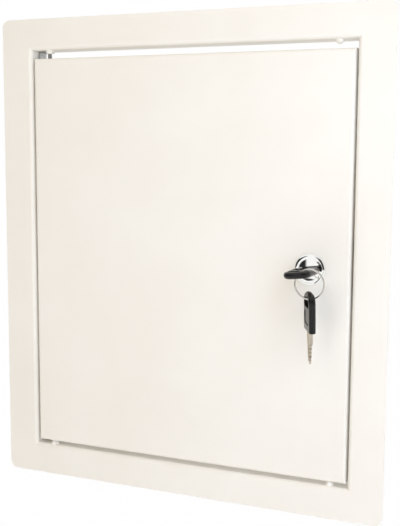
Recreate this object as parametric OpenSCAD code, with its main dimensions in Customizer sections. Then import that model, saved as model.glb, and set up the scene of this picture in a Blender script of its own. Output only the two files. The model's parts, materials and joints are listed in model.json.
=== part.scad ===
// Access panel: a folded steel frame and door on pivot pins, with a cam lock, two keys and a split ring.
// The front faces -Y, +Y goes into the wall, +Z is up.
// The wall face is y = 0, the opening's middle is x = z = 0.

/* [Frame] */
// Overall width of the flange
flange_w = 300; // [240:1:500]
// Overall height of the flange
flange_h = 350; // [260:1:600]
// Flange width at the left and right
flange_side = 25; // [20:0.5:40]
// Flange width at the top and bottom
flange_end = 23; // [20:0.5:40]
// Radius of the flange's outer corners
corner_r = 6; // [2:0.5:12]
// Thickness of the frame and door sheet
sheet_t = 0.8; // [0.6:0.1:1.2]
// Outer radius of the bend from flange to neck
frame_bend_r = 3; // [1.8:0.1:4]
// Depth of the neck behind the door's folded edge
neck_extra = 6.8; // [6:0.1:20]
// Diameter of the wall screw holes in the neck
screw_hole_d = 4.5; // [3.5:0.1:5.5]
// Distance between the two screw holes of one side
screw_pitch = 200; // [120:5:230]
// Distance of the screw holes from the neck's rear edge
screw_edge = 4; // [3.5:0.1:6]
// Width of the fixing tab round each screw hole
tab_w = 16; // [12:0.5:24]
// Width of the slits beside the fixing tabs
slit_w = 1.2; // [0.8:0.1:2]
// Length of the slits beside the fixing tabs
slit_len = 11; // [8:0.5:14]

/* [Door] */
// Gap between door and frame at the hinge side
hinge_gap = 2.2; // [1.8:0.1:4]
// Gap between door and frame at the lock side
lock_gap = 1.5; // [1.2:0.1:4]
// Gap between door and frame at the top
top_gap = 6.2; // [4.5:0.1:8]
// Depth of the door's folded edge
door_depth = 14; // [12:0.5:20]
// Outer radius of the door's front edges
door_bend_r = 2; // [1.5:0.1:3]

/* [Hinge] */
// Distance of the hinge axis from the neck's side wall
hinge_inset = 13.5; // [12:0.1:20]
// Depth of the hinge axis behind the front
hinge_setback = 5; // [4.5:0.1:6]
// Radius of the pressed bosses
boss_r = 3.1; // [2.8:0.1:3.6]
// Gap between a boss and the door
boss_gap = 0.3; // [0.2:0.05:0.5]
// Diameter of the hinge pins
pin_d = 3; // [2.4:0.1:3.4]
// Clearance round the hinge pins and rivets, per side
pin_clear = 0.05; // [0.03:0.01:0.1]
// Length of the hinge pins inside the door
pin_reach = 6; // [4:0.5:10]
// Diameter of the hinge pin heads
pin_head_d = 6.6; // [6:0.1:8]
// Thickness of the hinge pin and rivet heads
head_t = 1; // [0.7:0.1:1.2]
// Diameter of the hinge washer
hinge_washer_d = 6; // [5:0.1:7]

/* [Keeper] */
// Thickness of the keeper
keeper_t = 1.5; // [1:0.1:2]
// Length of the lip that the cam catches
keeper_lip = 11; // [9:0.5:14]
// Height of the lip
keeper_lip_h = 28; // [22:1:40]
// Height of the riveted leg
keeper_leg_h = 48; // [44:1:60]
// Gap from the keeper to the door's edge and to the cam
keeper_gap = 0.3; // [0.2:0.05:0.6]
// Diameter of the keeper rivets
rivet_d = 3; // [2.4:0.1:3.2]
// Diameter of the keeper rivet heads
rivet_head = 5.6; // [4.6:0.1:5.8]

/* [Lock] */
// Distance of the lock axis from the door's right edge
lock_inset = 27.5; // [24:0.1:40]
// Height of the lock axis above the door's middle
lock_up = 0.4; // [-20:0.1:20]
// Wall of the plug beside the keyway
plug_wall = 2; // [1.8:0.1:3]
// Clearance round the plug, per side
plug_clear = 0.05; // [0.03:0.01:0.1]
// Wall of the lock barrel
barrel_wall = 3; // [2.5:0.1:4]
// Overhang of the bezel past the barrel
bezel_lip = 2; // [1.5:0.1:4]
// Height of the bezel
bezel_h = 3.2; // [2.8:0.1:4]
// Radius of the bezel's front edge
bezel_round = 2.2; // [1:0.1:2.4]
// Overhang of the plug's face past the plug
face_lip = 1.4; // [1:0.1:1.8]
// Depth of the flats along the barrel
flat_depth = 1; // [0.5:0.1:1.5]
// Thickness of the lock washer
lock_washer_t = 0.8; // [0.5:0.1:1.5]
// Thickness of the lock nut
nut_t = 4; // [3:0.5:6]
// Width of the lock nut past the barrel
nut_lip = 2.5; // [2:0.1:4]
// Wall between the keyway's end and the barrel's end
end_wall = 7.4; // [1:0.1:8]
// Number of wafers
wafer_n = 5; // [3:1:6]
// Distance between wafers
wafer_pitch = 2.4; // [2:0.1:2.6]
// Thickness of a wafer
wafer_t = 1; // [0.8:0.1:1.1]
// Square of the plug's tail
tail_w = 7; // [6.5:0.1:7.5]
// Thickness of the stop washer
stop_t = 1.2; // [1:0.1:2]
// Turn of the lock in degrees
turn = 90; // [80:1:90]
// Width of the stop on the housing in degrees
stop_span = 100; // [80:1:110]
// Play at each end of the turn in degrees
stop_play = 2; // [1:0.5:4]

/* [Cam] */
// Thickness of the cam
cam_t = 2; // [1.5:0.1:2.5]
// Width of the cam
cam_w = 16; // [14:0.5:18]
// Gap from the cam's tip to the keeper's leg
cam_tip_gap = 1; // [0.8:0.1:3]
// Diameter of the cam screw
screw_d = 5; // [4:0.1:5]
// Thickness of the cam washer
cam_washer_t = 1; // [0.6:0.1:1.4]
// Length of the cam's crank
crank_len = 4; // [3:0.5:6]
// Corner radius of the cam's tip
cam_round = 3; // [1:0.5:5]

/* [Keys] */
// Width of the key blade
blade_w = 8; // [7:0.1:9]
// Thickness of the key blade
blade_t = 2.2; // [1.8:0.1:2.4]
// Length of the key blade outside the bow
blade_len = 20.5; // [19:0.5:26]
// Clearance round the blade in the keyway, per side
key_clear = 0.1; // [0.08:0.01:0.15]
// Gap between the bow and the bezel
key_gap = 6.8; // [5.5:0.1:7.2]
// Turn of the key at rest in degrees
key_turn = 5.5; // [0:0.5:10]
// Length of the tang inside the bow
tang_len = 12; // [8:0.5:14]
// Width of the key bow
bow_w = 18; // [16.4:0.2:22]
// Length of the key bow
bow_l = 25.7; // [25:0.1:32]
// Thickness of the key bow
bow_t = 4.4; // [4:0.1:5.2]
// Radius of the corners at the bow's end
bow_round = 8; // [5:0.5:8]
// Radius round the edges of the key bow
bow_edge = 0.5; // [0.3:0.1:1]
// Width of the slot in the bow
slot_w = 12.4; // [10:0.2:13]
// Height of the slot in the bow
slot_h = 6.4; // [5:0.1:7]
// Material between the slot and the bow's end
slot_edge = 3.4; // [3:0.1:5]
// Corner radius of the slot in the bow
slot_round = 2; // [1:0.1:2.4]
// Depth of the panel sunk into each side of the bow
bow_panel = 0.4; // [0.2:0.1:0.6]

/* [Ring] */
// Mean radius of the split ring
ring_r = 9.8; // [9.5:0.1:12]
// Width of the ring's wire
ring_wire_w = 1; // [0.9:0.1:1.3]
// Thickness of the ring's wire
ring_wire_t = 0.7; // [0.5:0.1:0.8]
// Gap between the ring's two turns
ring_turn_gap = 0.04; // [0.03:0.01:0.1]
// Length of the step between the ring's turns in degrees
ring_step = 24; // [16:1:40]
// Gap between the ring and each bow
ring_gap = 0.4; // [0.3:0.05:0.6]
// Turn of the spare key away from square
spare_yaw = 29.4; // [0:0.1:35]
// Lean of the spare key in degrees, as it hangs to one side of the ring's lowest point
spare_lean = 2.6; // [-5:0.1:5]
// Tilt of the spare key in degrees, in its own plane
spare_tilt = 5.5; // [-6:0.1:6]

/* [Hidden] */
$fn = 64;
over = 1;
fit = 0.1;

open_x = flange_w / 2 - flange_side;
open_z = flange_h / 2 - flange_end;
front = -sheet_t;
door_rear = front + door_depth;
neck_depth = door_rear + neck_extra;
screw_y = neck_depth - screw_edge;
bottom_gap = boss_r + boss_gap;
boss_flat = boss_r - 5 * fit;

door_left = -open_x + hinge_gap;
door_right = open_x - lock_gap;
door_top = open_z - top_gap;
door_bottom = -open_z + bottom_gap;
hinge_x = -open_x + hinge_inset;
hinge_y = front + hinge_setback;
pin_r = pin_d / 2;
pin_flat = hinge_setback - frame_bend_r - fit;

keeper_y = door_rear + keeper_gap;
keeper_leg = neck_extra - keeper_gap - 5 * fit;
rivet_y = keeper_y + keeper_leg / 2;
rivet_z = (keeper_lip_h + keeper_leg_h) / 4;
rivet_head_d = min(keeper_leg - fit, rivet_head);

lock_x = door_right - lock_inset;
lock_z = (door_top + door_bottom) / 2 + lock_up;
plug_r = blade_w / 2 + plug_wall;
bore_r = plug_r + plug_clear;
barrel_r = bore_r + barrel_wall;
bezel_r = barrel_r + bezel_lip;
face_r = plug_r + face_lip;
flat_z = barrel_r - flat_depth;
face_t = 1;
face_dome = 0.5;
face_top = bezel_h - fit;
face_edge = face_top - face_dome;
face_back = face_edge - face_t;

bow_z = bezel_h + key_gap;
keyway_end = bow_z - blade_len - 5 * fit;
barrel_end = keyway_end - end_wall;
stop_front = barrel_end - fit;
hub_front = stop_front - stop_t;
hub_rear = hub_front - cam_t;
tail_end = hub_rear + fit;
screw_seat = hub_rear - cam_washer_t;
screw_tip = barrel_end - 5 * fit;
tip_front = front - (keeper_y + keeper_t + keeper_gap);
cam_reach = open_x - lock_x - keeper_t - cam_tip_gap;
wafer_z = keyway_end + 0.6 * wafer_pitch;
crank_start = barrel_r + 1;
crank_end = crank_start + crank_len;
crank_shift = 0.2 * cam_t;
wafer_half = 2.8;
ear_top = 4.6;
ear_x = 1.7;
ear_w = 0.8;
spring_r = 0.4;
spring_wire = 0.24;
spring_turns = 10;
stop_r = bore_r + 4 * fit;
lug_r = barrel_r - 6 * fit;

cut_depths = [0.34, 0.42, 0.28, 0.4, 0.3];
slot_z = bow_l - slot_edge - slot_h / 2;
ring_in = ring_r - ring_wire_w / 2;
ring_half = (bow_w - slot_w) / 4;
ring_u = slot_w / 2 + ring_half;
ring_v = bow_t / 2 + ring_gap - sqrt(pow(ring_in, 2) - pow(ring_half, 2));
ring_x = ring_u * cos(key_turn) - ring_v * sin(key_turn);
ring_y = ring_u * sin(key_turn) + ring_v * cos(key_turn);
ring_z = bow_z + slot_z;
ring_pitch = ring_wire_t + ring_turn_gap;
ring_sag = pow(bow_t / 2 / cos(spare_yaw), 2) / (2 * ring_in);
spare_rim = ring_sag + ring_gap - ring_in;

// Shared shapes

// A profile of x and y drawn along Z, and the same profile drawn along X
module along_z(len) {
    linear_extrude(len, center = true) children();
}

module along_x(len) {
    rotate([0, -90, 0]) linear_extrude(len, center = true) children();
}

// A window profile that widens toward the front with a round lip
module lip_profile(a, y_front, r, y_back, ext) {
    difference() {
        union() {
            translate([-a, y_front - ext]) square([2 * a, y_back - y_front + ext]);
            translate([-a - r, y_front - ext]) square([2 * (a + r), r + ext]);
        }
        for (s = [-1, 1]) translate([s * (a + r), y_front + r]) circle(r);
    }
}

module lip_window(y_front, r, y_back, ext, grow) {
    intersection() {
        along_z(2 * flange_h) lip_profile(open_x + grow, y_front, r, y_back, ext);
        along_x(2 * flange_w) lip_profile(open_z + grow, y_front, r, y_back, ext);
    }
}

// A tray profile with rounded front corners
module tray_profile(a0, a1, y0, y1, r) {
    translate([a0 + r, y0]) square([a1 - a0 - 2 * r, y1 - y0]);
    translate([a0, y0 + r]) square([a1 - a0, y1 - y0 - r]);
    for (a = [a0 + r, a1 - r]) translate([a, y0 + r]) circle(r);
}

module tray(inset, y0, y1, r) {
    intersection() {
        along_z(2 * flange_h) tray_profile(door_left + inset, door_right - inset, y0, y1, r);
        along_x(2 * flange_w) tray_profile(door_bottom + inset, door_top - inset, y0, y1, r);
    }
}

// Lock frame: z points out of the door, z = 0 is the door's face, y is up
module at_lock() {
    translate([lock_x, front, lock_z]) rotate([90, 0, 0]) children();
}

// The same frame turned with the key
module at_plug() {
    at_lock() rotate(key_turn) children();
}

module at_spare() {
    at_lock() translate([ring_x, ring_y, ring_z]) rotate(spare_lean) translate([0, spare_rim, 0])
        rotate([0, spare_yaw - 90, 0]) rotate([-90, 0, 0]) rotate([0, spare_tilt, 0])
            translate([0, 0, -slot_z - slot_h / 2]) children();
}

module at_hinge(end) {
    translate([hinge_x, hinge_y, end * open_z]) children();
}

module tube(r_out, r_in, z0, z1) {
    translate([0, 0, z0]) difference() {
        cylinder(r = r_out, h = z1 - z0);
        translate([0, 0, -over]) cylinder(r = r_in, h = z1 - z0 + 2 * over);
    }
}

module box(x, y, z0, z1) {
    translate([-x / 2, -y / 2, z0]) cube([x, y, z1 - z0]);
}

// A hexagon with its lower corners turned off
module hexagon(r, h) {
    intersection() {
        cylinder(r = r / cos(30), h = h, $fn = 6);
        cylinder(r1 = r, r2 = r + h, h = h);
    }
}

// A wedge between two angles, up to 180 degrees wide
module wedge(r, a0, a1) {
    polygon(concat([[0, 0]], [for (i = [0:4]) let (a = a0 + (a1 - a0) * i / 4) [r * cos(a), r * sin(a)]]));
}

// A split ring about z: two flat turns joined by a step, each turn with its free end beside the step
module split_ring() {
    top = (ring_pitch + ring_wire_t) / 2;
    low = ring_turn_gap / 2;
    near = ring_in * sin(ring_step / 2);
    far = near + ring_wire_t / 2;
    difference() {
        tube(ring_in + ring_wire_w, ring_in, -top, top);
        translate([0, 0, -low]) linear_extrude(2 * low) difference() {
            square(3 * ring_r, center = true);
            translate([0, -near]) square([3 * ring_r, 2 * near]);
        }
        for (a = [0, 180]) rotate([a, 0, 0]) rotate([90, 0, 90]) linear_extrude(2 * ring_r)
            polygon([[-far, -low], [-near, -low], [near, top], [near, top + over], [-far, top + over]]);
    }
}

// A rivet along z, from the inner face at z = 0 to the outer face at z = grip
module rivet(d, grip) {
    cylinder(d = d, h = grip);
    translate([0, 0, grip]) cylinder(d1 = rivet_head_d, d2 = rivet_head_d - head_t, h = 0.7 * head_t);
    intersection() {
        translate([0, 0, -head_t]) cylinder(d = rivet_head_d, h = head_t);
        translate([0, 0, rivet_head_d - head_t]) sphere(rivet_head_d);
    }
}

// Frame

module frame_sheet() {
    difference() {
        union() {
            rotate([90, 0, 0]) linear_extrude(sheet_t) flange_outline();
            lip_window(0, frame_bend_r - sheet_t, neck_depth, sheet_t / 2, sheet_t);
        }
        lip_window(front, frame_bend_r, neck_depth + over, over, 0);
    }
}

module flange_outline() {
    square([flange_w - 2 * corner_r, flange_h], center = true);
    square([flange_w, flange_h - 2 * corner_r], center = true);
    for (x = [-1, 1], z = [-1, 1])
        translate([x * (flange_w / 2 - corner_r), z * (flange_h / 2 - corner_r)]) circle(corner_r);
}

module boss(x, end) {
    translate([x, hinge_y, end * open_z]) intersection() {
        sphere(boss_r);
        box(3 * boss_r, 3 * boss_r, end > 0 ? -2 * boss_r : -sheet_t / 2, end > 0 ? sheet_t / 2 : 2 * boss_r);
    }
}

module boss_pit(x, end) {
    r = boss_r - sheet_t;
    translate([x, hinge_y, end * open_z]) {
        sphere(r);
        translate([0, 0, end > 0 ? 0 : -2 * sheet_t]) cylinder(r = r, h = 2 * sheet_t);
    }
}

// The pierced top of a hinge boss
module boss_hole(end) {
    at_hinge(end) {
        cylinder(r = pin_r + pin_clear, h = 4 * boss_r, center = true);
        box(3 * boss_r, 3 * boss_r, end > 0 ? -2 * boss_r : boss_flat, end > 0 ? -boss_flat : 2 * boss_r);
    }
}

module side_bore(side, y, z, d) {
    translate([side * open_x, y, z]) rotate([0, 90, 0]) cylinder(d = d, h = 6 * sheet_t, center = true);
}

module fixing_tab(side, z) {
    side_bore(side, screw_y, z, screw_hole_d);
    for (s = [-1, 1]) translate([side * open_x, neck_depth - slit_len / 2, z + s * tab_w / 2])
        cube([6 * sheet_t, slit_len + 0.01, slit_w], center = true);
}

module frame() {
    color("white") difference() {
        union() {
            frame_sheet();
            for (x = [hinge_x, -hinge_x], end = [-1, 1]) boss(x, end);
        }
        for (x = [hinge_x, -hinge_x], end = [-1, 1]) boss_pit(x, end);
        for (end = [-1, 1]) boss_hole(end);
        for (side = [-1, 1], s = [-1, 1]) fixing_tab(side, s * screw_pitch / 2);
        for (s = [-1, 1]) side_bore(1, rivet_y, lock_z + s * rivet_z, rivet_d + 2 * pin_clear);
    }
}

// A hinge pin from the outside of the neck, through the gap and into the door
// A flat on the head lies along the frame's bend and keeps the pin from turning
module hinge_pin(gap) {
    len = gap + sheet_t + pin_reach;
    cylinder(r = pin_r, h = len - pin_r / 2);
    translate([0, 0, len - pin_r / 2]) cylinder(r1 = pin_r, r2 = pin_r / 2, h = pin_r / 2);
    translate([0, 0, -sheet_t]) cylinder(r = pin_r, h = sheet_t);
    translate([0, 0, -sheet_t - head_t]) intersection() {
        cylinder(d = pin_head_d, h = head_t);
        translate([-pin_head_d, -pin_flat, -over]) cube([2 * pin_head_d, 2 * pin_head_d, head_t + 2 * over]);
    }
}

module hinge_pin_top() {
    color("silver") at_hinge(1) rotate([0, 180, 0]) hinge_pin(top_gap);
}

module hinge_pin_bottom() {
    color("silver") at_hinge(-1) hinge_pin(bottom_gap);
}

module hinge_washer() {
    color("whitesmoke") at_hinge(-1)
        tube(hinge_washer_d / 2, pin_r + pin_clear, boss_flat, bottom_gap - fit);
}

module keeper() {
    color("silver") difference() {
        union() {
            translate([open_x - keeper_t, keeper_y, lock_z - keeper_leg_h / 2])
                cube([keeper_t, keeper_leg, keeper_leg_h]);
            translate([open_x - keeper_lip, keeper_y, lock_z - keeper_lip_h / 2])
                cube([keeper_lip, keeper_t, keeper_lip_h]);
        }
        for (s = [-1, 1]) side_bore(1, rivet_y, lock_z + s * rivet_z, rivet_d + 2 * pin_clear);
    }
}

module keeper_rivets() {
    color("gray") for (s = [-1, 1])
        translate([open_x - keeper_t, rivet_y, lock_z + s * rivet_z]) rotate([0, 90, 0])
            rivet(rivet_d, keeper_t + sheet_t);
}

// Door

module door_panel() {
    color("white") difference() {
        tray(0, front, door_rear, door_bend_r);
        tray(sheet_t, 0, door_rear + over, door_bend_r - sheet_t);
        for (z = [door_top, door_bottom]) translate([hinge_x, hinge_y, z])
            cylinder(r = pin_r + 2 * pin_clear, h = 4 * sheet_t, center = true);
        at_lock() translate([0, 0, -2 * sheet_t]) linear_extrude(3 * sheet_t) barrel_outline(fit);
    }
}

module barrel_outline(grow) {
    intersection() {
        circle(barrel_r + grow);
        square([3 * barrel_r, 2 * (flat_z + grow)], center = true);
    }
}

module bezel_profile() {
    square([bezel_r, bezel_h - bezel_round]);
    square([bezel_r - bezel_round, bezel_h]);
    intersection() {
        translate([bezel_r - bezel_round, bezel_h - bezel_round]) circle(bezel_round);
        square([bezel_r, bezel_h]);
    }
}

module lock_housing() {
    color("gainsboro") at_lock() difference() {
        union() {
            rotate_extrude() bezel_profile();
            translate([0, 0, barrel_end]) linear_extrude(-barrel_end) barrel_outline(0);
            translate([0, 0, hub_front + 2 * fit]) linear_extrude(stop_t) intersection() {
                barrel_outline(-3 * fit);
                rotate(key_turn) wedge(3 * barrel_r, -stop_span / 2, stop_span / 2);
                difference() {
                    circle(2 * barrel_r);
                    circle(stop_r + 2 * fit);
                }
            }
        }
        translate([0, 0, barrel_end - over]) cylinder(r = bore_r, h = bezel_h - barrel_end + 2 * over);
        translate([0, 0, face_back - fit]) cylinder(r = face_r + fit, h = bezel_h);
    }
}

module lock_washer() {
    color("silver") at_lock() tube(bezel_r + 5 * fit, barrel_r + fit, -sheet_t - lock_washer_t, -sheet_t);
}

module lock_nut() {
    color("silver") at_lock() translate([0, 0, -sheet_t - lock_washer_t - nut_t]) difference() {
        hexagon(barrel_r + nut_lip, nut_t);
        translate([0, 0, -over]) cylinder(r = barrel_r + fit, h = nut_t + 2 * over);
    }
}

// Turning part of the lock

module wafer_place() {
    for (i = [0:wafer_n - 1]) translate([0, 0, wafer_z + i * wafer_pitch]) children();
}

module wafer_slot() {
    w = wafer_t + 2 * fit;
    room = ear_x + ear_w + fit;
    box(3 * plug_r, 2 * (wafer_half + fit), -w / 2, w / 2);
    translate([-room, wafer_half, -w / 2]) cube([2 * room, ear_top - wafer_half + fit, w]);
}

module lock_plug() {
    dome = (pow(face_r, 2) + pow(face_top - face_edge, 2)) / (2 * (face_top - face_edge));
    color("gainsboro") at_plug() difference() {
        union() {
            translate([0, 0, barrel_end]) cylinder(r = plug_r, h = face_edge - barrel_end);
            intersection() {
                translate([0, 0, face_back]) cylinder(r = face_r, h = bezel_h);
                translate([0, 0, face_top - dome]) sphere(dome);
            }
            box(tail_w, tail_w, tail_end, barrel_end + over);
        }
        box(blade_w + 2 * key_clear, blade_t + 2 * key_clear, keyway_end, bezel_h);
        wafer_place() wafer_slot();
        translate([0, 0, tail_end - over])
            cylinder(d = screw_d + fit, h = screw_tip + 2 * fit - tail_end + over);
    }
}

module lock_wafers() {
    half = sqrt(pow(plug_r, 2) - pow(wafer_half + fit, 2)) - fit;
    color("goldenrod") at_plug() wafer_place() difference() {
        union() {
            box(2 * half, 2 * wafer_half, -wafer_t / 2, wafer_t / 2);
            translate([ear_x, wafer_half - fit, -wafer_t / 2])
                cube([ear_w, ear_top - wafer_half + fit, wafer_t]);
        }
        box(blade_w + 4 * key_clear, blade_t + 4 * key_clear, -over, over);
    }
}

// A close-wound spring, drawn as its row of turns
module spring(len) {
    step = (len - spring_wire) / (spring_turns - 1);
    translate([0, 0, spring_wire / 2]) rotate_extrude() {
        for (i = [0:spring_turns - 1]) translate([spring_r, i * step]) circle(d = spring_wire);
        translate([spring_r - 0.2 * spring_wire, 0]) square([0.4 * spring_wire, len - spring_wire]);
    }
}

// Each spring stands between the slot's end and the wafer's ear
module wafer_springs() {
    room = ear_x + ear_w + fit;
    color("gray") at_plug() wafer_place() translate([fit - room, (wafer_half + ear_top) / 2 + fit, 0])
        rotate([0, 90, 0]) spring(room + ear_x - 2 * fit);
}

module stop_washer() {
    lug = 360 - stop_span - turn - 2 * stop_play;
    start = stop_span / 2 + turn + stop_play;
    color("silver") at_plug() translate([0, 0, hub_front]) linear_extrude(stop_t) difference() {
        union() {
            circle(stop_r);
            intersection() {
                circle(lug_r);
                wedge(3 * barrel_r, start, start + lug);
            }
        }
        square(tail_w + fit, center = true);
    }
}

// The cam stands upright when the lock is open; it is cranked forward to the keeper
module cam_side() {
    far = cam_reach + over;
    polygon([[-cam_w, hub_rear], [crank_start + crank_shift, hub_rear],
        [crank_end + crank_shift, tip_front - cam_t], [far, tip_front - cam_t], [far, tip_front],
        [crank_end, tip_front], [crank_start, hub_front], [-cam_w, hub_front]]);
}

module cam_plan() {
    half = 0.4 * cam_w;
    inner = half - cam_round;
    circle(d = cam_w);
    polygon([[-cam_w / 2, 0], [cam_w / 2, 0], [half, crank_end], [-half, crank_end]]);
    translate([-half, crank_end - over]) square([2 * half, cam_reach - crank_end - cam_round + over]);
    translate([-inner, crank_end]) square([2 * inner, cam_reach - crank_end]);
    for (s = [-1, 1]) translate([s * inner, cam_reach - cam_round]) circle(cam_round);
}

module cam() {
    color("silver") at_plug() difference() {
        intersection() {
            rotate([90, 0, 90]) linear_extrude(2 * cam_w, center = true) cam_side();
            translate([0, 0, screw_seat]) linear_extrude(bezel_h - screw_seat) cam_plan();
        }
        box(tail_w + fit, tail_w + fit, screw_seat, hub_front + over);
    }
}

module cam_washer() {
    color("silver") at_plug() tube(1.15 * screw_d, screw_d / 2 + fit, screw_seat, hub_rear);
}

module cam_screw() {
    head = 0.7 * screw_d;
    color("gray") at_plug() {
        translate([0, 0, screw_seat]) cylinder(d = screw_d, h = screw_tip - screw_seat);
        translate([0, 0, screw_seat - head]) hexagon(0.8 * screw_d, head);
    }
}

// Keys, drawn with the bow toward +z from the shoulder at z = 0 and the blade toward -z

// A shape of width and length given thickness
module flat(t) {
    rotate([90, 0, 0]) linear_extrude(t, center = true) children();
}

module tang_outline(grow) {
    translate([-0.4 * blade_w - grow, -over]) square([0.8 * blade_w + 2 * grow, tang_len + over + grow]);
}

// A rectangle with rounded corners, from x0 to x1 and y0 to y1
module round_rect(x0, x1, y0, y1, r) {
    translate([x0 + r, y0]) square([x1 - x0 - 2 * r, y1 - y0]);
    translate([x0, y0 + r]) square([x1 - x0, y1 - y0 - 2 * r]);
    for (x = [x0 + r, x1 - r], y = [y0 + r, y1 - r]) translate([x, y]) circle(r);
}

// A block with square shoulders and two round corners, with the same rounded edge all the way round
module bow_blank() {
    w = bow_w / 2;
    t = bow_t / 2;
    corner_z = bow_l - bow_round;
    intersection() {
        linear_extrude(corner_z) round_rect(-w, w, -t, t, bow_edge);
        rotate([90, 0, 90]) linear_extrude(2 * bow_w, center = true) round_rect(-t, t, 0, bow_l, bow_edge);
    }
    rotate([90, 0, 90]) linear_extrude(2 * (w - bow_round), center = true) intersection() {
        round_rect(-t, t, 0, bow_l, bow_edge);
        translate([-bow_t, corner_z]) square([2 * bow_t, bow_l]);
    }
    for (turned = [0, 180]) rotate(turned) translate([w - bow_round, 0, corner_z]) rotate([90, 0, 0])
        rotate_extrude(angle = 90) intersection() {
            round_rect(-bow_round, bow_round, -t, t, bow_edge);
            translate([0, -bow_t]) square([bow_w, 2 * bow_t]);
        }
}

module bow() {
    difference() {
        bow_blank();
        flat(2 * bow_t) translate([0, slot_z])
            round_rect(-slot_w / 2, slot_w / 2, -slot_h / 2, slot_h / 2, slot_round);
        flat(blade_t + fit / 2) tang_outline(fit / 4);
        for (s = [-1, 1]) translate([0, s * bow_t / 2, 0]) flat(2 * bow_panel)
            round_rect(-0.4 * bow_w, 0.4 * bow_w, 0.17 * bow_l, 0.52 * bow_l, bow_round / 4);
    }
}

// Each cut meets its wafer when the key is home; the lands between the cuts lie below the blade's full width
module blade() {
    h = blade_w / 2;
    tip = 0.7 * blade_w;
    land = 0.2 * blade_w;
    n = len(cut_depths);
    near = 0.2 * wafer_pitch;
    bits = [for (i = [0:n - 1])
        let (z = wafer_z + (n - 1 - i) * wafer_pitch - bow_z, d = cut_depths[i] * blade_w)
        each [[h - land, z + wafer_pitch / 2], [h - d, z + near], [h - d, z - near]]];
    start = [[-h, 0], [h, 0], [h, bits[0][1] + land]];
    point = [[0.12 * blade_w, -blade_len], [-0.12 * blade_w, -blade_len], [-h, tip - blade_len]];
    difference() {
        union() {
            flat(blade_t) polygon(concat(start, bits, point));
            flat(blade_t) tang_outline(0);
        }
        for (s = [-1, 1]) translate([-0.1 * blade_w, s * blade_t / 2, -blade_len - over])
            box(0.18 * blade_w, 0.44 * blade_t, 0, blade_len);
    }
}

module key_blade() {
    color("tan") at_plug() translate([0, 0, bow_z]) blade();
}

module key_bow() {
    color("dimgray") at_plug() translate([0, 0, bow_z]) bow();
}

module spare_key_blade() {
    color("tan") at_spare() blade();
}

module spare_key_bow() {
    color("dimgray") at_spare() bow();
}

module key_ring() {
    color("silver") at_lock() translate([ring_x, ring_y, ring_z]) rotate(180) split_ring();
}

frame();
hinge_pin_top();
hinge_pin_bottom();
hinge_washer();
keeper();
keeper_rivets();
door_panel();
lock_housing();
lock_washer();
lock_nut();
lock_plug();
lock_wafers();
wafer_springs();
stop_washer();
cam();
cam_washer();
cam_screw();
key_blade();
key_bow();
key_ring();
spare_key_blade();
spare_key_bow();
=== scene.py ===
import json
import math

import bmesh
import bpy
from mathutils import Matrix, Vector
from mathutils.geometry import tessellate_polygon


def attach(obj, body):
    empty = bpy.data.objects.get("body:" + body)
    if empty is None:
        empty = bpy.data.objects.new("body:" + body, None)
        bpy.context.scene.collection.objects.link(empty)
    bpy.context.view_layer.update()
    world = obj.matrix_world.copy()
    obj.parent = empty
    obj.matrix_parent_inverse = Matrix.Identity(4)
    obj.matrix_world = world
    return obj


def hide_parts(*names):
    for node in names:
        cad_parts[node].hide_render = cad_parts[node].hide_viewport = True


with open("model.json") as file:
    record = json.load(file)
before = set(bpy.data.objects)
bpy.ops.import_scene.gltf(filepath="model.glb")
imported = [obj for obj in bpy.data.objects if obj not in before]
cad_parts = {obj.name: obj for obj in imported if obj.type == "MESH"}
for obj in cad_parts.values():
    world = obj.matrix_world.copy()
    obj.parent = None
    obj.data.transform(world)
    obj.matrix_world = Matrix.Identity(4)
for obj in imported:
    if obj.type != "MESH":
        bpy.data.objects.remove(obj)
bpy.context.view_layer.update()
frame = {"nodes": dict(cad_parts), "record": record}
nodes = frame["nodes"]
mm = 0.001

# where things are on the panel, in metres
joints = {joint["name"]: joint for joint in frame["record"]["behaviour"]["joints"]}
lockAxis = Vector(joints["lock_turn"]["pos_m"])
ringCentre = Vector(joints["spare_key_slide"]["pos_m"])
keyTurn = 5.5  # degrees, the plug stands a little off level


class Wire:  # a socket that can be used in sums
    def __init__(self, sheet, socket):
        self.sheet = sheet
        self.socket = socket

    def math(self, operation, *terms):
        return self.sheet.node("ShaderNodeMath", {"operation": operation}, dict(enumerate(terms)))

    def __add__(self, other):
        return self.math("ADD", self, other)

    def __radd__(self, other):
        return self.math("ADD", other, self)

    def __sub__(self, other):
        return self.math("SUBTRACT", self, other)

    def __rsub__(self, other):
        return self.math("SUBTRACT", other, self)

    def __mul__(self, other):
        return self.math("MULTIPLY", self, other)

    def __rmul__(self, other):
        return self.math("MULTIPLY", other, self)

    def __truediv__(self, other):
        return self.math("DIVIDE", self, other)

    def __abs__(self):
        return self.math("ABSOLUTE", self)


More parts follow.
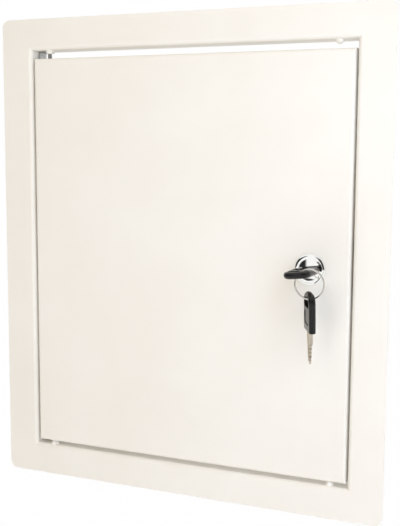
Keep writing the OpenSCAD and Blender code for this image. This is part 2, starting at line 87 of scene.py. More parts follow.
class Sheet:  # the nodes of one tree
    def __init__(self, tree):
        self.tree = tree

    def node(self, kind, settings=None, sockets=None, output=0):
        made = self.tree.nodes.new(kind)
        for name, value in (settings or {}).items():
            setattr(made, name, value)
        for name, value in (sockets or {}).items():
            self.feed(made, name, value)
        return Wire(self, made.outputs[output])

    def feed(self, made, name, value):
        if isinstance(value, Wire):
            self.tree.links.new(value.socket, made.inputs[name])
        else:
            made.inputs[name].default_value = value

    def place(self):
        return self.node("ShaderNodeTexCoord", {}, {}, "Object")

    def axes(self, vector):
        first = self.node("ShaderNodeSeparateXYZ", {}, {"Vector": vector})
        return [Wire(self, socket) for socket in first.socket.node.outputs]

    def noise(self, vector, scale, detail=2.0, rough=0.5):
        sockets = {"Vector": vector, "Scale": scale, "Detail": detail, "Roughness": rough}
        return self.node("ShaderNodeTexNoise", {}, sockets)

    def stretch(self, vector, scale):
        return self.node("ShaderNodeMapping", {}, {"Vector": vector, "Scale": scale})

    def along(self, vector, direction):
        settings = {"operation": "DOT_PRODUCT"}
        return self.node("ShaderNodeVectorMath", settings, {0: vector, 1: direction}, "Value")

    def fit(self, value, low, high, newLow, newHigh, smooth=False):
        kind = "SMOOTHSTEP" if smooth else "LINEAR"
        sockets = {"Value": value, "From Min": low, "From Max": high, "To Min": newLow, "To Max": newHigh}
        settings = {"interpolation_type": kind, "clamp": True}
        return self.node("ShaderNodeMapRange", settings, sockets)

    def blend(self, factor, first, second):  # of colours
        settings = {"data_type": "RGBA", "blend_type": "MIX"}
        return self.node("ShaderNodeMix", settings, {0: factor, 6: first, 7: second}, 2)

    def rays(self):
        first = self.node("ShaderNodeLightPath")
        return {socket.name: Wire(self, socket) for socket in first.socket.node.outputs}

    def sweep(self, path, section):
        sockets = {"Curve": path, "Profile Curve": section, "Fill Caps": True}
        return self.node("GeometryNodeCurveToMesh", {}, sockets)

    def settle(self, geometry, given):
        whole = self.node("GeometryNodeRealizeInstances", {}, {"Geometry": geometry})
        finish = Wire(self, given.outputs["Material"])
        return self.node("GeometryNodeSetMaterial", {}, {"Geometry": whole, "Material": finish})

    def bump(self, height, distance):
        sockets = {"Height": height, "Distance": distance, "Strength": 1.0}
        return self.node("ShaderNodeBump", {}, sockets)


def startFinish(name, fixed):
    material = bpy.data.materials.new(name)
    material.use_nodes = True
    shader = material.node_tree.nodes["Principled BSDF"]
    for socket, value in fixed.items():
        shader.inputs[socket].default_value = value
    return material, Sheet(material.node_tree), shader


def tone(red, green, blue):  # a screen colour as linear light
    linear = [((v / 255 + 0.055) / 1.055) ** 2.4 for v in (red, green, blue)]
    return (*linear, 1)


def addObject(name, data):
    made = bpy.data.objects.new(name, data)
    bpy.context.scene.collection.objects.link(made)
    return made


def turn(degrees, axis):
    return Matrix.Rotation(math.radians(degrees), 4, axis)


def shift(x, y, z):  # in millimetres
    return Matrix.Translation((x * mm, y * mm, z * mm))


# Finishes: a plain number for a texture is how many of its patches go to a metre

grainSpan = (0.3, 0.7)  # most of a noise lies between these

coatLook = {
    "colour": tone(247, 244, 238),
    "thin": tone(244, 240, 233),  # where the coat lies a little thinner
    "cloud": 14,
    "cloudSpan": (0.35, 0.7),
    "peelSize": 1.5 * mm,
    "gritSize": 0.3 * mm,
    "gritShare": 0.15,
    "peelDepth": 0.014 * mm,
    "gloss": (0.34, 0.44),
}


def powderCoat():
    material, sheet, shader = startFinish("powderCoat", {"Specular IOR Level": 0.4, "IOR": 1.5})
    place = sheet.place()
    cloud = sheet.noise(place, coatLook["cloud"], detail=3)
    thin = sheet.fit(cloud, *coatLook["cloudSpan"], 0, 1)
    sheet.feed(shader, "Base Color", sheet.blend(thin, coatLook["colour"], coatLook["thin"]))
    peel = sheet.noise(place, 1 / coatLook["peelSize"], detail=1.5, rough=0.4)
    grit = sheet.noise(place, 1 / coatLook["gritSize"], detail=2, rough=0.6)
    sheet.feed(shader, "Roughness", sheet.fit(grit, *grainSpan, *coatLook["gloss"]))
    skin = peel + coatLook["gritShare"] * grit
    sheet.feed(shader, "Normal", sheet.bump(skin, coatLook["peelDepth"]))
    return material


chromeLook = {
    "colour": tone(247, 247, 245),
    "haze": (0.045, 0.11),
    "hazeSpan": (0.35, 0.7),
    "smudge": 160,
    "smudgeShare": 0.7,
    "rub": (900, 900, 6000),
    "rubDepth": 0.001 * mm,
}


def chromePlate():
    fixed = {"Metallic": 1.0, "Base Color": chromeLook["colour"]}
    material, sheet, shader = startFinish("chromePlate", fixed)
    place = sheet.place()
    smudge = sheet.noise(place, chromeLook["smudge"], detail=3, rough=0.6)
    rub = sheet.noise(sheet.stretch(place, chromeLook["rub"]), 1, detail=3, rough=0.6)
    share = chromeLook["smudgeShare"]
    mixed = share * smudge + (1 - share) * rub
    sheet.feed(shader, "Roughness", sheet.fit(mixed, *chromeLook["hazeSpan"], *chromeLook["haze"]))
    sheet.feed(shader, "Normal", sheet.bump(rub, chromeLook["rubDepth"]))
    return material


zincLook = {
    "colour": tone(176, 178, 176),
    "tint": tone(186, 180, 160),  # passivation
    "dull": tone(140, 142, 143),
    "cloud": 70,
    "cloudSpan": (0.4, 0.7),
    "tintMost": 0.8,
    "dullMost": 0.35,
    "rough": (0.28, 0.46),
    "spangle": 2.2 * mm,
    "rolled": (3000, 3000, 250),
    "rollDepth": 0.006 * mm,
}


def zincPlate():
    material, sheet, shader = startFinish("zincPlate", {"Metallic": 1.0})
    place = sheet.place()
    cloud = sheet.noise(place, zincLook["cloud"], detail=3)
    sockets = {"Vector": place, "Scale": 1 / zincLook["spangle"]}
    cell = sheet.node("ShaderNodeTexVoronoi", {}, sockets, "Color")
    tinted = sheet.fit(cloud, *zincLook["cloudSpan"], 0, zincLook["tintMost"])
    base = sheet.blend(tinted, zincLook["colour"], zincLook["tint"])
    dulled = sheet.fit(sheet.axes(cell)[0], 0, 1, 0, zincLook["dullMost"])
    sheet.feed(shader, "Base Color", sheet.blend(dulled, base, zincLook["dull"]))
    rolled = sheet.noise(sheet.stretch(place, zincLook["rolled"]), 1, detail=3, rough=0.65)
    sheet.feed(shader, "Roughness", sheet.fit(rolled, *grainSpan, *zincLook["rough"]))
    sheet.feed(shader, "Normal", sheet.bump(rolled, zincLook["rollDepth"]))
    return material


nickelLook = {
    "colour": tone(208, 196, 178),
    "worn": tone(222, 214, 201),
    "patch": 260,
    "patchSpan": (0.4, 0.65),
    "rough": (0.3, 0.48),
    "linesAlongY": (2600, 60, 2600),  # grinding marks, along the blade
    "linesAlongZ": (2600, 2600, 60),
    "lineDepth": 0.01 * mm,
}


def keyNickel(name, lines):
    material, sheet, shader = startFinish(name, {"Metallic": 1.0})
    place = sheet.place()
    ground = sheet.noise(sheet.stretch(place, nickelLook[lines]), 1, detail=4, rough=0.7)
    patch = sheet.noise(place, nickelLook["patch"], detail=2)
    wear = sheet.fit(patch, *nickelLook["patchSpan"], 0, 1)
    sheet.feed(shader, "Base Color", sheet.blend(wear, nickelLook["colour"], nickelLook["worn"]))
    sheet.feed(shader, "Roughness", sheet.fit(ground, *grainSpan, *nickelLook["rough"]))
    sheet.feed(shader, "Normal", sheet.bump(ground, nickelLook["lineDepth"]))
    return material


plasticLook = {
    "colour": tone(22, 21, 20),
    "scuffed": tone(44, 43, 41),
    "scuff": 220,
    "scuffSpan": (0.55, 0.8),
    "scuffMost": 0.6,
    "rough": (0.14, 0.24),
    "roughSpan": (0.35, 0.65),
    "grain": 0.35 * mm,
    "grainDepth": 0.012,  # in millimetres, as the next
    "seamHeight": 0.05,
    "seam": 0.12 * mm,  # half width of the mould line round the middle
}


def bowPlastic(name, bowPlace):
    material, sheet, shader = startFinish(name, {"Specular IOR Level": 0.36})
    place = sheet.place()
    grain = sheet.noise(place, 1 / plasticLook["grain"], detail=2, rough=0.6)
    scuff = sheet.noise(place, plasticLook["scuff"], detail=4, rough=0.7)
    rubbed = sheet.fit(scuff, *plasticLook["scuffSpan"], 0, plasticLook["scuffMost"])
    sheet.feed(shader, "Base Color", sheet.blend(rubbed, plasticLook["colour"], plasticLook["scuffed"]))
    mixed = (grain + scuff) / 2
    sheet.feed(shader, "Roughness", sheet.fit(mixed, *plasticLook["roughSpan"], *plasticLook["rough"]))
    across = bowPlace.to_3x3() @ Vector((0, 1, 0))  # through the thickness of the bow
    offMiddle = abs(sheet.along(place, across) - bowPlace.translation.dot(across))
    seam = sheet.fit(offMiddle, 0, plasticLook["seam"], 1, 0, True)
    relief = grain * plasticLook["grainDepth"] + seam * plasticLook["seamHeight"]
    sheet.feed(shader, "Normal", sheet.bump(relief, 1 * mm))
    return material


ringLook = {"colour": tone(216, 212, 206), "rough": (0.14, 0.3)}
springLook = {"colour": tone(150, 150, 152), "rough": (0.22, 0.38)}
wireRub = {"scale": 900, "depth": 0.006 * mm}


def wireSteel(name, look):
    material, sheet, shader = startFinish(name, {"Metallic": 1.0, "Base Color": look["colour"]})
    place = sheet.place()
    rub = sheet.noise(place, wireRub["scale"], detail=4, rough=0.7)
    sheet.feed(shader, "Roughness", sheet.fit(rub, *grainSpan, *look["rough"]))
    sheet.feed(shader, "Normal", sheet.bump(rub, wireRub["depth"]))
    return material


brassLook = {
    "colour": tone(206, 170, 96),
    "dark": tone(150, 116, 62),
    "stain": 500,
    "stainSpan": (0.4, 0.75),
    "rough": (0.22, 0.4),
    "grain": 3000,
    "grainDepth": 0.004 * mm,
}


def waferBrass():
    material, sheet, shader = startFinish("waferBrass", {"Metallic": 1.0})
    place = sheet.place()
    stain = sheet.noise(place, brassLook["stain"], detail=3)
    grain = sheet.noise(place, brassLook["grain"], detail=2)
    aged = sheet.fit(stain, *brassLook["stainSpan"], 0, 1)
    sheet.feed(shader, "Base Color", sheet.blend(aged, brassLook["colour"], brassLook["dark"]))
    sheet.feed(shader, "Roughness", sheet.fit(stain, *grainSpan, *brassLook["rough"]))
    sheet.feed(shader, "Normal", sheet.bump(grain, brassLook["grainDepth"]))
    return material


nylonLook = {
    "colour": tone(236, 234, 226),
    "shade": tone(222, 218, 206),
    "cloud": 600,
    "rough": (0.4, 0.55),
    "grain": 2500,
    "grainDepth": 0.006 * mm,
}


def washerNylon():
    material, sheet, shader = startFinish("washerNylon", {"Subsurface Weight": 0.1})
    place = sheet.place()
    cloud = sheet.noise(place, nylonLook["cloud"], detail=3)
    grain = sheet.noise(place, nylonLook["grain"], detail=2)
    sheet.feed(shader, "Base Color", sheet.blend(cloud, nylonLook["colour"], nylonLook["shade"]))
    sheet.feed(shader, "Roughness", sheet.fit(cloud, *grainSpan, *nylonLook["rough"]))
    sheet.feed(shader, "Normal", sheet.bump(grain, nylonLook["grainDepth"]))
    return material


coat = powderCoat()
zinc = zincPlate()
chrome = chromePlate()
finishes = {
    "frame": coat,
    "door_panel": coat,
    "lock_housing": chrome,
    "lock_plug": chrome,
    "lock_wafers": waferBrass(),
    "hinge_washer": washerNylon(),
    "key_blade": keyNickel("keyNickel", "linesAlongY"),
    "spare_key_blade": keyNickel("spareKeyNickel", "linesAlongZ"),
}
for name, node in nodes.items():
    node.data.materials.clear()
    node.data.materials.append(finishes.get(name, zinc))
print("finishes:", len(bpy.data.materials))


# Geometry Nodes pieces

# points along each curve
steps = {"ring": 300, "ringEdge": 4, "springTurn": 20, "springWire": 8, "thread": 33}


def newTree(name, inputs):
    tree = bpy.data.node_groups.new(name, "GeometryNodeTree")
    for label, kind, value in inputs:
        socket = tree.interface.new_socket(label, in_out="INPUT", socket_type=kind)
        if value is not None:
            socket.default_value = value
    tree.interface.new_socket("Geometry", in_out="OUTPUT", socket_type="NodeSocketGeometry")
    return tree, Sheet(tree), tree.nodes.new("NodeGroupInput"), tree.nodes.new("NodeGroupOutput")


def runTree(name, tree, values):
    holder = addObject(name + "Holder", bpy.data.meshes.new(name + "Holder"))
    modifier = holder.modifiers.new("build", "NODES")
    modifier.node_group = tree
    for item in tree.interface.items_tree:
        if item.item_type == "SOCKET" and item.in_out == "INPUT" and item.name in values:
            modifier[item.identifier] = values[item.name]
    bpy.context.view_layer.update()
    ready = holder.evaluated_get(bpy.context.evaluated_depsgraph_get())
    mesh = bpy.data.meshes.new_from_object(ready)
    bpy.data.objects.remove(holder)
    mesh.name = name
    return addObject(name, mesh)


ringSize = {
    "Radius": 9.8 * mm,
    "Wire Width": 1.0 * mm,
    "Wire Thickness": 0.7 * mm,
    "Turn Gap": 0.04 * mm,
    "Step": math.radians(24),  # the stretch where the wire climbs to the second turn
    "Edge": 0.22 * mm,
}


def ringTree():
    inputs = [(label, "NodeSocketFloat", value) for label, value in ringSize.items()]
    tree, sheet, given, result = newTree("splitRing", inputs + [("Material", "NodeSocketMaterial", None)])
    size = {label: Wire(sheet, given.outputs[label]) for label in ringSize}
    line = sheet.node("GeometryNodeCurvePrimitiveLine", {}, {"Start": (0, 0, 0), "End": (1, 0, 0)})
    path = sheet.node("GeometryNodeResampleCurve", {}, {"Curve": line, "Count": steps["ring"]})
    share = sheet.node("GeometryNodeSplineParameter", {}, {}, "Factor")
    angle = size["Step"] / 2 + share * (2 * math.tau - size["Step"])
    climb = (size["Wire Thickness"] + size["Turn Gap"]) / 2
    half = size["Step"] / 2
    height = sheet.fit(angle, math.tau - half, math.tau + half, 0 - climb, climb, True)
    x = size["Radius"] * angle.math("COSINE", angle)
    y = size["Radius"] * angle.math("SINE", angle)
    spot = sheet.node("ShaderNodeCombineXYZ", {}, {"X": x, "Y": y, "Z": height})
    path = sheet.node("GeometryNodeSetPosition", {}, {"Geometry": path, "Position": spot})
    path = sheet.node("GeometryNodeSetCurveNormal", {"mode": "Z_UP"}, {"Curve": path})
    section = sheet.node("GeometryNodeCurvePrimitiveQuadrilateral", {"mode": "RECTANGLE"}, {
        "Width": size["Wire Width"], "Height": size["Wire Thickness"]})
    sockets = {"Curve": section, "Radius": size["Edge"], "Count": steps["ringEdge"]}
    section = sheet.node("GeometryNodeFilletCurve", {"mode": "POLY"}, sockets)
    wire = sheet.sweep(path, section)
    sheet.feed(result, "Geometry", sheet.settle(wire, given))
    return tree


def makeRing():
    steel = wireSteel("ringSteel", ringLook)
    ring = runTree("splitRing", ringTree(), dict(ringSize, Material=steel))
    ring.data.transform(Matrix.Translation(ringCentre) @ turn(90, "X") @ turn(180, "Z"))
    ring.data.shade_smooth()
    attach(ring, "ring")
    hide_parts("key_ring")
    return ring


springSize = {
    "Coil": 0.4 * mm,
    "Wire": 0.24 * mm,
    "Length": 4.1 * mm,
    "Turns": 9.0,
    "Pitch": 2.4 * mm,
}
springCount = 5
springStart = Vector((-2.5 * mm + springSize["Wire"] / 2, -0.84 * mm, 3.8 * mm))  # from the lock's axis


def springTree():
    inputs = [(label, "NodeSocketFloat", value) for label, value in springSize.items()]
    tree, sheet, given, result = newTree("waferSprings", inputs + [
        ("Count", "NodeSocketInt", springCount), ("Material", "NodeSocketMaterial", None)])
    size = {label: Wire(sheet, given.outputs[label]) for label in list(springSize) + ["Count"]}
    coil = sheet.node("GeometryNodeCurveSpiral", {}, {
        "Resolution": steps["springTurn"], "Rotations": size["Turns"], "Start Radius": size["Coil"],
        "End Radius": size["Coil"], "Height": size["Length"] - size["Wire"]})
    sockets = {"Resolution": steps["springWire"], "Radius": size["Wire"] / 2}
    spring = sheet.sweep(coil, sheet.node("GeometryNodeCurvePrimitiveCircle", {}, sockets))
    gap = sheet.node("ShaderNodeCombineXYZ", {}, {"X": size["Pitch"]})
    row = sheet.node("GeometryNodeMeshLine", {}, {"Count": size["Count"], "Offset": gap})
    row = sheet.node("GeometryNodeInstanceOnPoints", {}, {"Points": row, "Instance": spring})
    sheet.feed(result, "Geometry", sheet.settle(row, given))
    return tree


def makeSprings():
    steel = wireSteel("springSteel", springLook)
    springs = runTree("waferSprings", springTree(), dict(springSize, Count=springCount, Material=steel))
    axes = Matrix(((0, 0, 1), (1, 0, 0), (0, 1, 0))).to_4x4()  # coils lie along x, the row runs along y
    turned = Matrix.Translation(lockAxis) @ turn(-keyTurn, "Y")
    springs.data.transform(turned @ Matrix.Translation(springStart) @ axes)
    springs.data.shade_smooth()
    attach(springs, "plug")
    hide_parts("wafer_springs")
    return springs


threadSize = {
    "Radius": 9.04 * mm,
    "Depth": 0.36 * mm,
    "Pitch": 1.0 * mm,
    "Half Angle": math.radians(60),  # the flats above and below cut the thread off
    "Flank": 0.45,  # half the ridge's foot, as a share of the pitch
}
threadStart = 5.2 * mm  # behind the nut
threadTurns = 12


def threadTree():
    inputs = [(label, "NodeSocketFloat", value) for label, value in threadSize.items()]
    tree, sheet, given, result = newTree("barrelThread", inputs + [
        ("Count", "NodeSocketInt", threadTurns), ("Material", "NodeSocketMaterial", None)])
    size = {label: Wire(sheet, given.outputs[label]) for label in list(threadSize) + ["Count"]}
    line = sheet.node("GeometryNodeCurvePrimitiveLine", {}, {"Start": (0, 0, 0), "End": (1, 0, 0)})
    path = sheet.node("GeometryNodeResampleCurve", {}, {"Curve": line, "Count": steps["thread"]})
    share = sheet.node("GeometryNodeSplineParameter", {}, {}, "Factor")
    angle = size["Half Angle"] * (share * 2 - 1)
    x = size["Radius"] * angle.math("COSINE", angle)
    y = size["Radius"] * angle.math("SINE", angle)
    spot = sheet.node("ShaderNodeCombineXYZ", {}, {"X": x, "Y": y, "Z": size["Pitch"] * angle / math.tau})
    path = sheet.node("GeometryNodeSetPosition", {}, {"Geometry": path, "Position": spot})
    path = sheet.node("GeometryNodeSetCurveNormal", {"mode": "Z_UP"}, {"Curve": path})
    flank = size["Pitch"] * size["Flank"]
    sockets = {"Width": size["Depth"] * 2, "Bottom Height": flank, "Top Height": flank}
    ridge = sheet.node("GeometryNodeCurvePrimitiveQuadrilateral", {"mode": "KITE"}, sockets)
    arc = sheet.sweep(path, ridge)
    lift = sheet.node("ShaderNodeCombineXYZ", {}, {"Z": size["Pitch"] / 2})
    sockets = {"Geometry": arc, "Translation": lift, "Rotation": (0, 0, math.pi)}
    other = sheet.node("GeometryNodeTransform", {}, sockets)
    both = sheet.node("GeometryNodeJoinGeometry", {}, {"Geometry": arc})
    sheet.feed(both.socket.node, "Geometry", other)
    gap = sheet.node("ShaderNodeCombineXYZ", {}, {"Z": size["Pitch"]})
    row = sheet.node("GeometryNodeMeshLine", {}, {"Count": size["Count"], "Offset": gap})
    row = sheet.node("GeometryNodeInstanceOnPoints", {}, {"Points": row, "Instance": both})
    sheet.feed(result, "Geometry", sheet.settle(row, given))
    return tree


def makeThread():
    thread = runTree("barrelThread", threadTree(), dict(threadSize, Count=threadTurns, Material=chrome))
    start = lockAxis + Vector((0, threadStart, 0))
    thread.data.transform(Matrix.Translation(start) @ turn(-90, "X"))
    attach(thread, "door")
    return thread


# Moulded bows

bowSize = {
    "width": 18.4 * mm,
    "length": 25.7 * mm,  # from the shoulder to the free end
    "thick": 4.6 * mm,
    "corner": 6.5 * mm,
    "edge": 2.2 * mm,  # the hand side is nearly full round, the shoulder is not
    "shoulder": 0.35 * mm,
    "slot": (12.4 * mm, 6.4 * mm, 2 * mm),  # width, height and corner
    "slotMiddle": 19.1 * mm,
    "slotEdge": 0.4 * mm,
    "panel": (12.4 * mm, 9 * mm, 2 * mm),
    "panelMiddle": 8.9 * mm,
    "panelDepth": 0.4 * mm,
    "panelDraft": 0.12 * mm,
}
arcSteps = 8
weld = 0.001 * mm  # points as close as this become one
crease = math.radians(35)  # sharper edges than this stay sharp


def arc(x, z, radius, start, end):
    angles = [math.radians(start + (end - start) * k / arcSteps) for k in range(arcSteps + 1)]
    return [(x + radius * math.cos(a), z + radius * math.sin(a)) for a in angles]


def roundRect(middle, size, grow):
    width, height, corner = size
    a = width / 2 - corner
    b = height / 2 - corner
    r = corner + grow
    loop = arc(a, middle + b, r, 0, 90) + arc(-a, middle + b, r, 90, 180)
    return loop + arc(-a, middle - b, r, 180, 270) + arc(a, middle - b, r, 270, 360)


def bowOutline(inset):
    side = bowSize["width"] / 2
    a = side - bowSize["corner"]
    b = bowSize["length"] - bowSize["corner"]
    low = bowSize["shoulder"] * inset / bowSize["edge"]
    r = bowSize["corner"] - inset
    return [(side - inset, low)] + arc(a, b, r, 0, 90) + arc(-a, b, r, 90, 180) + [(inset - side, low)]


def roundedLevels(edge):  # height through the thickness, and how far the edge has drawn back
    flat = bowSize["thick"] / 2 - edge
    quarter = [math.radians(90 * k / arcSteps) for k in range(arcSteps + 1)]
    upper = [(flat + edge * math.sin(a), edge * (1 - math.cos(a))) for a in quarter]
    return [(-height, drawn) for height, drawn in reversed(upper)] + upper


def solidMesh(name, verts, faces):
    mesh = bpy.data.meshes.new(name)
    mesh.from_pydata(verts, [], faces)
    shape = bmesh.new()
    shape.from_mesh(mesh)
    bmesh.ops.remove_doubles(shape, verts=shape.verts, dist=weld)
    bmesh.ops.recalc_face_normals(shape, faces=shape.faces)
    shape.to_mesh(mesh)
    shape.free()
    mesh.shade_smooth()
    mesh.set_sharp_from_angle(angle=crease)
    return mesh


def bowMesh(name):
    verts = []
    faces = []

    def addLoop(loop, height):
        verts.extend((x, height, z) for x, z in loop)
        return list(range(len(verts) - len(loop), len(verts)))

    def joinLoops(rows):
        for near, far in zip(rows, rows[1:]):
            for k in range(len(near)):
                faces.append((near[k - 1], near[k], far[k], far[k - 1]))

    rim = [addLoop(bowOutline(drawn), height) for height, drawn in roundedLevels(bowSize["edge"])]
    slot = [addLoop(roundRect(bowSize["slotMiddle"], bowSize["slot"], drawn), height)
            for height, drawn in roundedLevels(bowSize["slotEdge"])]
    joinLoops(rim)
    joinLoops(slot)
    for end, side in ((0, -1), (-1, 1)):
        top = side * bowSize["thick"] / 2
        floor = side * (bowSize["thick"] / 2 - bowSize["panelDepth"])
        middle, panel = bowSize["panelMiddle"], bowSize["panel"]
        mouth = addLoop(roundRect(middle, panel, 0), top)
        sunk = addLoop(roundRect(middle, panel, -bowSize["panelDraft"]), floor)
        joinLoops([mouth, sunk])
        faces.append(tuple(sunk))
        loops = [rim[end], slot[end], mouth]
        flatLoops = [[Vector((verts[k][0], verts[k][2], 0)) for k in loop] for loop in loops]
        order = [k for loop in loops for k in loop]
        faces.extend(tuple(order[k] for k in corner) for corner in tessellate_polygon(flatLoops))
    return solidMesh(name, verts, faces)


outward = turn(90, "X")  # from a part drawn upright to one that points out of the door
shoulderAt = 10.8  # of the key in the lock, in millimetres off the door
keyPlace = Matrix.Translation(lockAxis) @ outward @ turn(keyTurn, "Z") @ shift(0, 0, shoulderAt)
spareHang = {  # millimetres and degrees
    "lean": 2.6,  # to one side of the ring's lowest point
    "drop": 8.557,  # from the ring's centre to where the bow hangs
    "yaw": 29.4,
    "tilt": 5.5,
    "slotTop": 22.3,  # from the shoulder
}
hang = outward @ turn(spareHang["lean"], "Z") @ shift(0, -spareHang["drop"], 0)
upright = turn(spareHang["yaw"] - 90, "Y") @ turn(-90, "X") @ turn(spareHang["tilt"], "Y")
sparePlace = Matrix.Translation(ringCentre) @ hang @ upright @ shift(0, 0, -spareHang["slotTop"])


def makeBow(name, node, body, place, finish):
    mesh = bowMesh(name)
    mesh.transform(place)
    mesh.materials.append(finish)
    bow = addObject(name, mesh)
    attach(bow, body)
    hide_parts(node)
    return bow


bladeReach = {
    "length": 20.5 * mm,
    "longer": 1.11,
    "taperFrom": 9 * mm,
    "taper": 0.5,  # of the width, over a whole length
    "thinner": 0.7,  # the same of the thickness
}


def makeSpareBlade():  # the hanging key's blade, drawn out to a longer and finer tip
    mesh = nodes["spare_key_blade"].data.copy()
    mesh.name = "spareKeyBlade"
    mesh.transform(sparePlace.inverted() @ nodes["spare_key_blade"].matrix_world)
    for vertex in mesh.vertices:
        if vertex.co.z < 0:
            vertex.co.z *= bladeReach["longer"]
            past = max(0, -vertex.co.z - bladeReach["taperFrom"]) / bladeReach["length"]
            vertex.co.x *= 1 - bladeReach["taper"] * past
            vertex.co.y *= 1 - bladeReach["thinner"] * past
    mesh.transform(sparePlace)
    blade = addObject("spareKeyBlade", mesh)
    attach(blade, "spare_key")
    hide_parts("spare_key_blade")
    return blade


# angles that darken the corners of the gaps by the hinge: dark pieces standing in for shade
shadeAngleSize = {
    "leg": 5.4 * mm,
    "foot": 8 * mm,  # stops short of the hinge boss
    "depth": (9.5 * mm, 19.2 * mm),  # front and rear edge
    "sheet": 0.8 * mm,
    "bend": 1.8 * mm,
    "corner": (-125 * mm, 152 * mm),  # inner corner of the neck
}


def shadeAngleProfile():  # an angle in its own corner, legs along x and up
    leg, foot, sheet, bend = (shadeAngleSize[name] for name in ("leg", "foot", "sheet", "bend"))
    outer = arc(bend, bend, bend, 270, 180)
    inner = arc(bend, bend, bend - sheet, 180, 270)
    return [(foot, 0)] + outer + [(0, leg), (sheet, leg)] + inner + [(foot, sheet)]


def makeShadeAngles():  # zinc angles in the neck's top and bottom corners beside the hinge pins; they block the light through the ends of the gaps there, so they put painted shade into those corners
    verts = []
    faces = []
    profile = shadeAngleProfile()
    count = len(profile)
    left, top = shadeAngleSize["corner"]
    for end in (1, -1):
        first = len(verts)
        for y in shadeAngleSize["depth"]:
            verts.extend((left + along, y, end * (top - up)) for along, up in profile)
        front = list(range(first, first + count))
        rear = [k + count for k in front]
        faces.extend([tuple(front), tuple(rear)])
        faces.extend((front[k - 1], front[k], rear[k], rear[k - 1]) for k in range(count))
    mesh = solidMesh("cornerShadeAngles", verts, faces)
    mesh.materials.append(zinc)
    shadeAngles = addObject("cornerShadeAngles", mesh)
    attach(shadeAngles, "frame")
    return shadeAngles


keyPlastic = bowPlastic("bowPlastic", keyPlace)
sparePlastic = bowPlastic("spareBowPlastic", sparePlace)
made = [
    makeRing(),
    makeSprings(),
    makeThread(),
    makeBow("keyBow", "key_bow", "key", keyPlace, keyPlastic),
    makeBow("spareKeyBow", "spare_key_bow", "spare_key", sparePlace, sparePlastic),
    makeSpareBlade(),
    makeShadeAngles(),
]
for piece in made:
    print("piece:", piece.name, len(piece.data.polygons), "faces")


# Studio

plainWhite = (1, 1, 1, 1)
studio = {
    "ambient": (0.32, 1.0),  # from the front, and from the white backdrop
    "backdrop": (-0.6, 0.4),  # where the one goes over to the other, front to back
    "ambientTint": ((1.0, 0.9, 0.7, 1), (1.0, 0.985, 0.955, 1)),
    "roomDark": (0.02, 0.02, 0.022, 1),  # what polished metal sees of the unlit room
    "darkSides": ((-150, -23, 0.42), (10, 75, 0.75)),  # from and to in degrees off the front, and height
    "darkEdge": (3, 0.1),  # how softly they end, in degrees and in height
    "floorDrop": 0.6,
    "floorSide": 6.0,
    "floorColour": tone(246, 245, 243),
    "floorWhite": 0.985,
    "floorGrain": 300,
    "grainSpan": (0.4, 0.6),
    "grainMost": 0.1,
    "floorDark": (-1.35, -1.56),  # a dark band painted into the floor that only glossy rays see: a painted dark reflection in polished metal
    "floorEdge": 0.04,
}
lamps = [
    {"name": "frontBox", "spot": (-0.12, -1.35, 0.02), "size": (0.4, 0.4), "watts": 2.4,
     "tint": (1.0, 0.93, 0.9)},
    {"name": "rightBox", "spot": (0.5, -0.56, 0.13), "size": (0.45, 0.6), "watts": 3.25,
     "tint": (0.71, 0.815, 1.0)},
    {"name": "topBox", "spot": (0.1, -0.7, 1.1), "size": (0.8, 0.5), "watts": 3.1,
     "tint": (1.0, 0.86, 0.67)},
]


def makeWorld():
    world = bpy.data.worlds.new("studio")
    bpy.context.scene.world = world
    world.use_nodes = True
    tree = world.node_tree
    tree.nodes.clear()
    sheet = Sheet(tree)
    rays = sheet.rays()
    toward = sheet.node("ShaderNodeTexCoord", {}, {}, "Generated")
    x, y, z = sheet.axes(toward)
    bearing = x.math("ARCTAN2", x, 0 - y) * (180 / math.pi)
    unlit = 0
    around, above = studio["darkEdge"]
    for start, end, height in studio["darkSides"]:
        level = sheet.fit(abs(z), height, height + above, 1, 0, True)
        opens = sheet.fit(bearing, start - around, start, 0, 1, True)
        closes = sheet.fit(bearing, end, end + around, 1, 0, True)
        unlit = unlit + level * opens * closes
    seen = sheet.blend(unlit, plainWhite, studio["roomDark"])
    behind = sheet.fit(y, *studio["backdrop"], 0, 1, True)
    low, high = studio["ambient"]
    tint = sheet.blend(behind, *studio["ambientTint"])
    soft = sheet.node("ShaderNodeBackground", {}, {"Color": tint, "Strength": low + behind * (high - low)})
    white = sheet.node("ShaderNodeBackground", {}, {"Color": plainWhite, "Strength": 1.0})
    mirror = sheet.node("ShaderNodeBackground", {}, {"Color": seen, "Strength": 1.0})
    light = sheet.node("ShaderNodeMixShader", {}, {0: rays["Is Glossy Ray"], 1: soft, 2: mirror})
    through = rays["Is Camera Ray"].math("MAXIMUM", rays["Is Camera Ray"], rays["Is Transmission Ray"])
    light = sheet.node("ShaderNodeMixShader", {}, {0: through, 1: light, 2: white})
    out = tree.nodes.new("ShaderNodeOutputWorld")
    sheet.feed(out, "Surface", light)


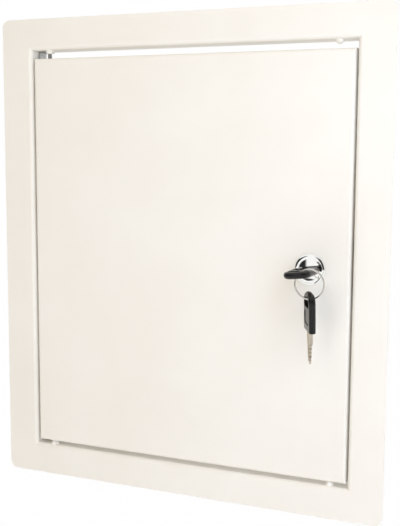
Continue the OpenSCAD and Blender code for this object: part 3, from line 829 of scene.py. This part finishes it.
def makeFloor():
    material = bpy.data.materials.new("floorPaper")
    material.use_nodes = True
    tree = material.node_tree
    tree.nodes.clear()
    sheet = Sheet(tree)
    rays = sheet.rays()
    place = sheet.place()
    grain = sheet.noise(place, studio["floorGrain"], detail=2)
    flecks = sheet.fit(grain, *studio["grainSpan"], 0, studio["grainMost"])
    colour = sheet.blend(flecks, studio["floorColour"], plainWhite)
    paper = sheet.node("ShaderNodeBsdfDiffuse", {}, {"Color": colour})
    reach = sheet.axes(place)[1]
    near, far = studio["floorDark"]
    edge = studio["floorEdge"]
    # the painted dark band, shown only to glossy rays so that polished metal reflects it
    strip = sheet.fit(reach, far - edge, far, 0, 1, True) * sheet.fit(reach, near, near + edge, 1, 0, True)
    shade = sheet.blend(rays["Is Glossy Ray"] * strip, plainWhite, studio["roomDark"])
    glow = sheet.node("ShaderNodeEmission", {}, {"Color": shade, "Strength": 1.0})
    direct = rays["Is Camera Ray"].math("MAXIMUM", rays["Is Camera Ray"], rays["Is Glossy Ray"])
    direct = direct.math("MAXIMUM", direct, rays["Is Transmission Ray"])
    mixed = sheet.node("ShaderNodeMixShader", {}, {0: studio["floorWhite"] * direct, 1: paper, 2: glow})
    out = tree.nodes.new("ShaderNodeOutputMaterial")
    sheet.feed(out, "Surface", mixed)
    mesh = bpy.data.meshes.new("floor")
    side = studio["floorSide"]
    corners = [(-side, -side), (side, -side), (side, side), (-side, side)]
    mesh.from_pydata([(a, b, -studio["floorDrop"]) for a, b in corners], [], [(0, 1, 2, 3)])
    mesh.materials.append(material)
    floor = addObject("floor", mesh)


def makeLamps():
    for lamp in lamps:
        light = bpy.data.lights.new(lamp["name"], "AREA")
        light.shape = "RECTANGLE"
        light.size, light.size_y = lamp["size"]
        light.energy = lamp["watts"]
        light.color = lamp["tint"]
        holder = addObject(lamp["name"], light)
        holder.location = lamp["spot"]
        holder.visible_glossy = False  # polished metal sees the world's own panels
        holder.visible_camera = False
        holder.rotation_euler = (-Vector(lamp["spot"])).to_track_quat("-Z", "Y").to_euler()


shot = {
    "spot": (0.27925, -0.61349, 0.08293),
    "turn": (82.8246, -0.3152, 23.4288),  # degrees about x, y and z
    "lens": 64.566,
}


def makeCamera():
    camera = addObject("camera", bpy.data.cameras.new("camera"))
    camera.data.lens = shot["lens"]
    camera.location = shot["spot"]
    camera.rotation_euler = [math.radians(angle) for angle in shot["turn"]]
    bpy.context.scene.camera = camera


makeWorld()
makeFloor()
makeLamps()
makeCamera()
bpy.context.scene.view_settings.view_transform = "Standard"
print("studio:", len(lamps), "lamps")
